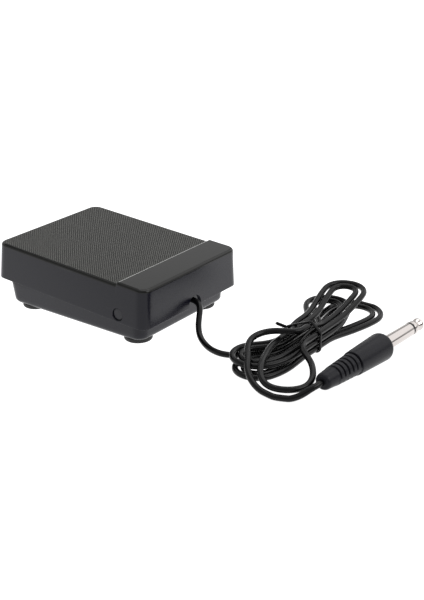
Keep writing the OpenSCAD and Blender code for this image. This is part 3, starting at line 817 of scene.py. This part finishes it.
def cover_shape(s):
    """Cover: one rounded rectangle carried from the ceiling down the inside, round the rim, up
    the drafted wall and round the top edge. Across the hinge end it is lifted by the strip's
    rise, along stations that follow the step's small hollow and its rounded edge. The level
    tops and the step between them close the shell. Marks: tread on the hatched top, sleek on
    the strip and the rounded edges, edge on the rounding of the strip's front, where a
    highlight is painted."""
    front, half = REAR - s.cover_length / MM, s.cover_width / MM / 2
    rise, edge, rnd = s.strip_rise / MM, s.strip_edge / MM, s.top_round / MM
    strip, top, arc = REAR - HINGE_DRAFT - s.strip_length / MM, TREAD - rnd, 12
    q = np.radians(np.linspace(0, 90, 7))
    hollow, bend = strip - CURL + CURL * np.sin(q), strip + edge * (1 - np.cos(q))
    step_x = join([hollow, bend, [strip + edge + 0.08]])
    step_z = join([CURL * (1 - np.cos(q)), rise - edge + edge * np.sin(q), [rise]])
    before = np.array([-70.2, -69.5, -60, -50, -40, -30, -20, -10, -4])
    after = np.array([2, 5, 7.5, 9.0])
    side_x = join([before, step_x, after])
    side_z = join([0 * before, step_z, 0 * after + rise])
    end_y = np.array([-28.6, -28, -20, -12, -6, 0, 6, 12, 20, 28, 28.6])
    flat, up = np.zeros(arc), np.full(arc, rise)
    lift = join([flat, side_z, up, 0 * end_y + rise, up, side_z[::-1], flat, 0 * end_y])
    levels, slick = [], []

    def level(f, i, corner, z, lifted=0, smoothed=0):
        """One level of the shell: f of the way up the draft and i further in."""
        x0, x1 = front + TOE_DRAFT * f + i, REAR - HINGE_DRAFT * f - i
        plan = rounded(x0, x1, half - SIDE_DRAFT * f - i, corner, side_x, end_y, arc)
        levels.append(at_height(plan, z + lifted * lift))
        slick.append(smoothed)

    level(1, WALL, 2.6, CEILING)
    level(0, WALL, 3, RIM)
    for a in np.radians((0, 30, 60, 90)):
        i = RIM_ROUND * (1 - np.sin(a))
        level(0, i, CORNER - i, RIM + RIM_ROUND * (1 - np.cos(a)))
    for z in (-3.0, -1.0, 3.0, 7.0, 10.0, top - 0.5, top - 0.12):
        f = (z - RIM) / (top - RIM)
        level(f, 0, CORNER - (CORNER - TOP_CORNER) * f, z, z > 10.5)
    for a in np.radians(np.linspace(0, 90, 10)):
        i = rnd * (1 - np.cos(a))
        level(1, i, TOP_CORNER - 0.69 * i, top + rnd * np.sin(a), 1, 1)
    i = rnd + 0.35
    level(1, i, TOP_CORNER - 0.69 * i, TREAD, 1, 1)
    points = np.stack(levels)
    count, cols = points.shape[:2]
    last = (count - 1) * cols
    m, near = len(step_x) - 1, arc + len(before)
    far = cols - len(end_y) - near - 1
    faces = grid(count, cols).tolist() + [list(range(cols))[::-1]]
    faces.append([last + j for j in [*range(far, cols), *range(0, near + 1)]])
    faces.append([last + j for j in range(near + m, far - m + 1)])
    n = np.arange(m)
    faces += (np.stack([near + n, near + n + 1, far - n - 1, far - n], -1) + last).tolist()
    tread, painted_highlight = np.zeros((2, count, cols))
    tread[-1] = lift == 0
    # The edge mark, where the highlight is painted: the stations of the rounding of the strip's
    # front.
    n = np.arange(len(q) + 4, m)
    painted_highlight[-1, join([near + n, far - n])] = 1
    sleek = np.array(slick)[:, None] * (1 - tread)
    marks = {"tread": tread.ravel(), "sleek": sleek.ravel(), "edge": painted_highlight.ravel()}
    return (points.reshape(-1, 3), faces), marks


def arch(x0, x1, y, z, r, down):
    """Arched cutter along X: a half circle on straight sides that run down."""
    t = np.radians(np.linspace(0, 180, 33))
    py = join([[y + r], y + r * np.cos(t), [y - r]])
    pz = join([[down], z + r * np.sin(t), [down]])
    return closed(np.stack([np.column_stack([np.full(len(py), x), py, pz]) for x in (x0, x1)]))


def rib_shapes():
    """Cover's inside: hold-down barbs, spring cup, presser and stiffening ribs."""
    top, cup = CEILING + 0.4, 8.2
    side = np.array([(-74.3, 1), (-70.4, 2.9), (-70.4, 4.5), (-74.3, 4.5)])
    barb = lambda y: closed(np.stack([np.insert(side, 1, y + w, axis=1) for w in (-4, 4)]))
    shapes = [barb(y) for y in BARBS_Y]
    wall = eased([(0, 6.9), (0, 8.2), (top - cup, 8.2), (top - cup, 6.9), (0, 6.9)], 0.2)
    shapes.append(upright(wall, 48, (-50.65, 0, cup), caps=False))
    for x0, x1, y0, y1, low in (
        (-28.15, -25.15, -5, 5, -2.54),
        (-31.65, -21.65, -0.9, 0.9, 3.0),
        (-68, 5, -11.8, -10.2, 8.8),
        (-68, 5, 10.2, 11.8, 8.8),
        (-40.8, -39.2, -28, 28, 9.6),
        (-14.8, -13.2, -28, 28, 9.6),
    ):
        points, faces = slab(x0, x1, y0, y1, -top, -low)
        shapes.append((points * np.array([1, 1, -1]), faces))
    return together(*shapes)


class PEDAL_OT_cover(bpy.types.Operator):
    """Cover with its hatched tread, raised strip, pivot holes, cord notch and inner ribs"""

    bl_idname = "pedal.cover"
    bl_label = "Cover"

    def execute(self, context):
        s, f = context.scene.pedal_sizes, finishes()
        shape, marks = cover_shape(s)
        cover = sew("cover_moulding", shape, f["cover"], marks)
        r = s.pin_radius / MM + 0.05
        hole = [(35.1, r), (35.75, r + 0.6), (40, r + 0.6), (40, 0)]
        hole = [(-x, y) for x, y in hole[::-1]] + hole
        carve(cover, crosswise(hole, 64, 0, 0), arch(9, 18, EXIT_Y, -2.75, 4.5, -8))
        ribs = sew("cover_ribs", rib_shapes(), f["base"])
        turn = Matrix.Rotation(math.radians(REST_TILT), 4, "Y")
        rest = Matrix.Translation((PIVOT[0] * MM, 0, PIVOT[1] * MM)) @ turn
        for piece in (cover, ribs):
            piece.data.transform(rest)
        fit(cover, "pedal", "cover", "pedal_cover")
        fit(ribs, "pedal", "cover")
        return {"FINISHED"}


# Base

FEET = {
    f"{end}_{side}": (x, y)
    for end, x in (("rear", 32.6), ("front", -31.6))
    for side, y in (("left", -23.6), ("right", 23.6))
}
FLOOR, LIP, WALL_TOP = 4.4, 14.0, 25.0
ROOT, POST_TOP, PIN_HOLE = FLOOR - 0.3, 26.65, 2.82  # fittings start a little inside the floor
SPRING_X, SPRING_RADIUS, SPRING_WIRE, SPRING_TURNS = -20, 5.4, 0.55, 7


def base_shape(s):
    """Base: one rounded rectangle carried from the underside round its lower edge, up the drafted
    wall to the lip, up the inner wall and down inside to the floor. A row is its two ends, half
    width, corner radius and height."""
    w = s.base_width / MM / 2
    side_x = np.array([-34, -33.5, -20, -8, 4, 16, 28, 33.5, 34])
    end_y = np.array([-25, -24.5, -16, -8, 0, 8, 16, 24.5, 25])
    under = (1, 2.2), (0.68, 2.45), (0.42, 2.8), (0.22, 3.25), (0.08, 3.75), (0, 4.2)
    rows = [(-40.7 + 2.4 * i, 41 - 2.7 * i, w - 1.9 * i, 4.9 - 0.9 * i, z) for i, z in under]
    for z in (5.5, 8.5, 11.5, 13.7):
        k = (z - 4.2) / 9.8
        rows.append((-40.7 - 1.7 * k, 41 + 0.9 * k, w + 0.65 * k, 4.9 + 0.7 * k, z))
    rows += [
        (-42.25, 41.75, w + 0.53, 5.5, 13.93),
        (-42.05, 41.55, w + 0.33, 5.5, LIP),
        (-41.2, 40.2, 31.1, 5.5, LIP),
        (-41.1, 40.1, 31, 5.4, LIP + 0.1),
        (-41.1, 40.1, 31, 5.4, WALL_TOP - 0.2),
        (-40.9, 39.9, 30.8, 5.2, WALL_TOP),
        (-39.5, 38.5, 29.4, 4.2, WALL_TOP),
        (-39.3, 38.3, 29.2, 4, WALL_TOP - 0.2),
        (-39.3, 38.3, 29.2, 4, FLOOR),
    ]
    levels = [at_height(rounded(*row, side_x, end_y), z) for *row, z in rows]
    return closed(np.stack(levels))


def fitting_shapes():
    """Base's inside: bearings for the pins, stop posts, ribs, cord saddle and spring seat."""
    shapes = []
    for s in (-1, 1):
        y0, y1 = sorted((s * 25.6, s * 29.6))
        ring = eased([(y0, PIN_HOLE), (y0, 5.2), (y1, 5.2), (y1, PIN_HOLE), (y0, PIN_HOLE)], 0.25)
        post = eased([(0, 0), (0, 3), (POST_TOP - ROOT, 3), (POST_TOP - ROOT, 0)], 0.3)
        shapes += [
            crosswise(ring, 48, *PIVOT, caps=False),
            slab(PIVOT[0] - 5.1, PIVOT[0] + 5.1, y0, y1, ROOT, 12.2),
            upright(post, 40, (-32, s * 20, ROOT)),
            slab(-39.4, -32, s * 20 - 0.8, s * 20 + 0.8, ROOT, 15),
            slab(-38, 12, s * 12 - 0.7, s * 12 + 0.7, ROOT, FLOOR + 2.4),
        ]
    saddle = (-6.3, -0.25, 13.5), (2.65, 8.7, 13.5), (-0.5, 2.9, 12.0)
    shapes += [slab(31, 37, y0, y1, ROOT, z) for y0, y1, z in saddle]
    seat = eased([(0, 0), (0, 7.6), (2.9, 7.6), (2.9, 4.25), (6.8, 4.25), (6.8, 0)], 0.3)
    return together(*shapes, upright(seat, 48, (SPRING_X, 0, ROOT)))


class PEDAL_OT_base(bpy.types.Operator):
    """Base with its lip, cord hole and inner fittings"""

    bl_idname = "pedal.base"
    bl_label = "Base"

    def execute(self, context):
        s, f = context.scene.pedal_sizes, finishes()
        base = sew("base_moulding", base_shape(s), f["base"])
        r = s.cord_diameter / MM / 2 + 0.05
        cord = [(37.8, 0), (37.8, r), (41.4, r), (41.9, r + 0.35), (45, r + 0.35), (45, 0)]
        cord = closed(spun(cord, 40) + np.array([0, EXIT_Y, EXIT_Z]))
        pins = [(-40, 0), (-40, PIN_HOLE), (40, PIN_HOLE), (40, 0)]
        windows = [slab(-45, -38.5, y - 5, y + 5, 15.6, 23.75) for y in BARBS_Y]
        carve(base, cord, crosswise(pins, 48, *PIVOT), *windows)
        fit(base, "base", "base", "base_tray")
        fixed("base_fittings", fitting_shapes(), "base")
        return {"FINISHED"}


class PEDAL_OT_feet(bpy.types.Operator):
    """Four rubber feet"""

    bl_idname = "pedal.feet"
    bl_label = "Feet"

    def execute(self, context):
        r = context.scene.pedal_sizes.foot_radius / MM
        profile = eased([(0, 0), (0, r - 0.5), (0.5, r), (2.18, r), (2.18, 0)], 0.35, 6)
        for name, (x, y) in FEET.items():
            fixed(f"foot_pad_{name}", upright(profile, 72, (x, y, 0)), "foot", f"foot_{name}")
        return {"FINISHED"}


class PEDAL_OT_pins(bpy.types.Operator):
    """Hinge pins, hollow from inside, with a chamfered end"""

    bl_idname = "pedal.pins"
    bl_label = "Hinge pins"

    def execute(self, context):
        r = context.scene.pedal_sizes.pin_radius / MM
        hollow = [(33, 0), (33, 1.6), (25.6, 1.6)]
        profile = eased([*hollow, (25.6, r), (34.5, r), (34.8, r - 0.3), (34.8, 0)], 0.12)
        for side, name in ((-1, "left"), (1, "right")):
            shape = crosswise(profile * np.array([side, 1]), 64, *PIVOT)
            fixed(f"pin_{name}", shape, "pin", f"hinge_pin_{name}")
        return {"FINISHED"}


# Inside


class PEDAL_OT_spring(bpy.types.Operator):
    """Return spring, built at rest; nothing here shortens it as the pedal goes down"""

    bl_idname = "pedal.spring"
    bl_label = "Return spring"

    def execute(self, context):
        """Helix: (r cos a, r sin a), rising evenly over its turns."""
        a = np.linspace(0, 2 * np.pi * SPRING_TURNS, 40 * SPRING_TURNS)
        x, y = SPRING_X + SPRING_RADIUS * np.cos(a), SPRING_RADIUS * np.sin(a)
        path = np.column_stack([x, y, np.linspace(7.56, 28.44, len(a))])
        shape = closed(tube(path, SPRING_WIRE, 12))
        spring = fixed("spring_coil", shape, "spring", "return_spring")
        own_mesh(spring)
        return {"FINISHED"}


class PEDAL_OT_switch(bpy.types.Operator):
    """Leaf switch, cord clamp and conductors inside the base"""

    bl_idname = "pedal.switch"
    bl_label = "Switch and wiring"

    def execute(self, context):
        worn = {
            "board": "contact_block contact_spacer contact_cap",
            "contact": "lower_contact upper_terminal contact_blade",
            "screw": "contact_screws clamp_screws",
            "base": "cord_clamp",
            "cord": "inner_cord",
        }
        for name, nodes in worn.items():
            for node in nodes.split():
                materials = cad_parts[node].data.materials
                materials.clear()
                materials.append(finishes()[name])
        red = [(29.8, 1.8, 13.7), (29.2, 1.8, 13.7), (28.8, 3, 14.1), (28.2, 4.1, 14.1)]
        red += [(26.4, 4.4, 14.1)]
        white = [(29.8, 0.6, 13.3), (29.2, 0.6, 13.3), (28.9, -1.2, 12.4), (28.6, -3.2, 10.9)]
        white += [(28, -4.3, 10.1), (26.4, -4.3, 10.1)]
        for name, slot, route in (("signal", "wire_red", red), ("ground", "wire_white", white)):
            shape = closed(tube(curve(route, 0.25), 0.45, 12))
            fixed(f"wire_{name}", shape, slot, f"{name}_wire")
        return {"FINISHED"}


# Stage

CAMERA_AT = (0.34636, -0.38978, 0.22491)
CAMERA_TURN, CAMERA_RISE, LENS = 36.609, 23.195, 69.89
FLOOR_HALF, FLOOR_GLOW, WHITE = 40.0, 1.42, 1.06
# Directions in the surround: to the camera, to a bright panel, and square to a thin dark line
FRONT, PANEL, SEAM = (0.596, -0.803, 0.0), (0.3, 0.745, 0.595), (-0.743, 0.0, -0.669)


def aimed(name, data, at, way):
    """A camera or light at one place that looks along a way."""
    thing = show(name, data)
    thing.location = at
    thing.rotation_mode = "QUATERNION"
    thing.rotation_quaternion = Vector(way).to_track_quat("-Z", "Y")
    return thing


class PEDAL_OT_camera(bpy.types.Operator):
    """Camera at the product view"""

    bl_idname = "pedal.camera"
    bl_label = "Camera"

    def execute(self, context):
        data = bpy.data.cameras.new("view")
        data.lens, data.sensor_width, data.sensor_fit = LENS, 36.0, "AUTO"
        data.clip_start, data.clip_end = 0.01, 20.0
        a, e = math.radians(CAMERA_TURN), math.radians(CAMERA_RISE)
        way = (-math.sin(a) * math.cos(e), math.cos(a) * math.cos(e), -math.sin(e))
        context.scene.camera = aimed("view", data, CAMERA_AT, way)
        return {"FINISHED"}


def lamp(name, at, aim, extent, power):
    """A soft square light at one place, aimed at another."""
    data = bpy.data.lights.new(name, "AREA")
    data.shape, data.size, data.energy = "SQUARE", extent, power
    aimed(name, data, at, Vector(aim) - Vector(at))


def ramp(place, way, start, end):
    """Eased step from 0 to 1 of how far a place or direction lies along a way."""
    given = {"Value": along(place, way), "From Min": start, "From Max": end}
    return put(place.id_data, "MapRange", given, interpolation_type="SMOOTHSTEP")[0]


def band(place, way, centre, inner, outer):
    """Eased band: 1 within the inner distance of its centre along a way, 0 past the outer one."""
    rise = ramp(place, way, centre - outer, centre - inner)
    return calc("SUBTRACT", rise, ramp(place, way, centre + inner, centre + outer))


def pale_floor():
    """Level square in the floor's plane, with a faint glow that is lower towards the camera."""
    made, tree, shader = material(
        "pale_floor", Roughness=0.9, Specular_IOR_Level=0.0, Emission_Strength=FLOOR_GLOW
    )
    cloud = shared(tree, "grain", Grain=0.01, Cloud=0.5)["Tone"]
    nearer = ramp(place_in(tree), FRONT, 0.0, 0.1)
    base = shade(cloud, (0.11, 0.11, 0.11), (0.12, 0.12, 0.12))
    glow = shade(nearer, (1.0, 1.0, 1.0), (0.7, 0.7, 0.7))
    dress(shader, Base_Color=base, Emission_Color=glow)
    r = FLOOR_HALF
    mesh = bpy.data.meshes.new("floor")
    mesh.from_pydata([(-r, -r, 0), (r, -r, 0), (r, r, 0), (-r, r, 0)], [], [(0, 1, 2, 3)])
    mesh.materials.append(made)
    return show("floor", mesh)


def surround():
    """White world. What is mirrored or lit by it is dimmer: low in front, along a skyline to the
    right and in a thin seam, and brighter in one panel."""
    world = bpy.data.worlds.new("surround")
    world.use_nodes = True
    tree = world.node_tree
    place = put(tree, "TexCoord")["Generated"]
    low = ramp(place, (0.0, 0.0, -1.0), -0.85, -0.5)
    dim = calc("MULTIPLY", calc("MULTIPLY", ramp(place, FRONT, 0.15, 0.6), low), 0.45)
    right = ramp(place, (1.0, 0.0, 0.0), 0.15, 0.45)
    skyline = calc("MULTIPLY", band(place, (0.0, 0.0, 1.0), 0.2, 0.09, 0.14), right)
    seam = band(place, SEAM, 0.0, 0.02, 0.07)
    dim = calc("MAXIMUM", calc("MAXIMUM", dim, skyline), seam)
    panel = calc("MULTIPLY", ramp(place, PANEL, 0.78, 0.9), 0.62)
    change = calc("MULTIPLY_ADD", dim, -0.75, calc("SUBTRACT", panel, 0.27))
    unseen = calc("SUBTRACT", 1.0, put(tree, "LightPath")["Is Camera Ray"])
    sky = next(n for n in tree.nodes if n.type == "BACKGROUND")
    sky.inputs["Color"].default_value = (1.0, 1.0, 1.0, 1.0)
    dress(sky, Strength=calc("MULTIPLY_ADD", change, unseen, WHITE))
    return world


class PEDAL_OT_stage(bpy.types.Operator):
    """Pale floor, soft light and white surround"""

    bl_idname = "pedal.stage"
    bl_label = "Stage"

    def execute(self, context):
        scene = context.scene
        scene.view_settings.view_transform = "Standard"
        pale_floor()
        scene.world = surround()
        lamp("key", (0.75, 0.15, 0.55), (0.05, 0, 0.01), 0.5, 2.2)
        lamp("top", (-0.1, 0.3, 0.9), (0.03, 0, 0.01), 0.6, 1.6)
        return {"FINISHED"}


# Panel and start

OPERATORS = (
    PEDAL_OT_camera, PEDAL_OT_cord, PEDAL_OT_plug, PEDAL_OT_cover, PEDAL_OT_base,
    PEDAL_OT_feet, PEDAL_OT_pins, PEDAL_OT_spring, PEDAL_OT_switch, PEDAL_OT_stage,
)


class PEDAL_PT_panel(bpy.types.Panel):
    """Pieces of the pedal, with their sizes and colours"""

    bl_label = "Sustain Pedal"
    bl_idname = "PEDAL_PT_panel"
    bl_space_type = "VIEW_3D"
    bl_region_type = "UI"
    bl_category = "Pedal"

    def draw(self, context):
        for settings in (context.scene.pedal_sizes, context.scene.pedal_colours):
            box = self.layout.box()
            for key in settings.__annotations__:
                box.prop(settings, key)
        for operator in OPERATORS:
            self.layout.operator(operator.bl_idname)


CLASSES = (PedalSizes, PedalColours, *OPERATORS, PEDAL_PT_panel)


def register():
    for c in CLASSES:
        bpy.utils.register_class(c)
    bpy.types.Scene.pedal_sizes = PointerProperty(type=PedalSizes)
    bpy.types.Scene.pedal_colours = PointerProperty(type=PedalColours)


def unregister():
    del bpy.types.Scene.pedal_colours
    del bpy.types.Scene.pedal_sizes
    for c in reversed(CLASSES):
        bpy.utils.unregister_class(c)


def main():
    """Registers the classes and builds every piece in order."""
    register()
    for operator in OPERATORS:
        getattr(bpy.ops.pedal, operator.bl_idname.split(".")[1])()


if __name__ == "__main__":
    main()
